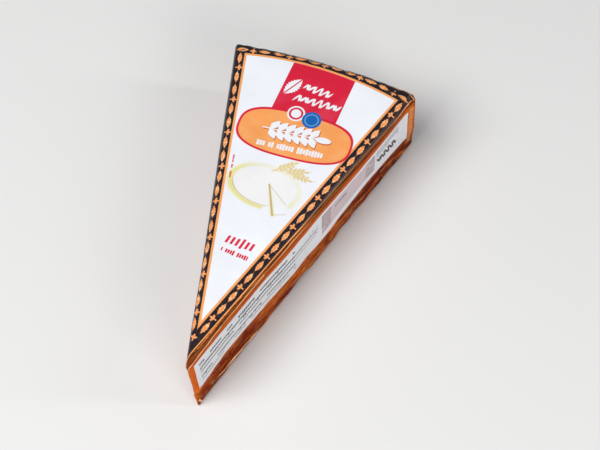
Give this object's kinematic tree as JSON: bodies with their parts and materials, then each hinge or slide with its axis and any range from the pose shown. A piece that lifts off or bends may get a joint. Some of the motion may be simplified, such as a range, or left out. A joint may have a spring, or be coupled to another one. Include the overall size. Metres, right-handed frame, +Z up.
{
  "type": "wrapped cheese wedge",
  "caption": "Wedge of soft-ripened cheese wrapped in a folded sheet of printed foil laminate, lying flat on its seamed base.",
  "frame": {"origin": "centre of the bounding box, on the surface that the base rests on", "axes": "+Z up from the base to the top face, +Y from the tip to the curved heel, +X to the right as seen from the tip"},
  "size_m": [0.0752, 0.1388, 0.0376],
  "materials": {
    "wrapper": "satin",
    "cheese": "matte"
  },
  "bodies": {
    "root": {"wrapper": "wrapper", "cheese_wedge": "cheese"}
  },
  "joints": []
}
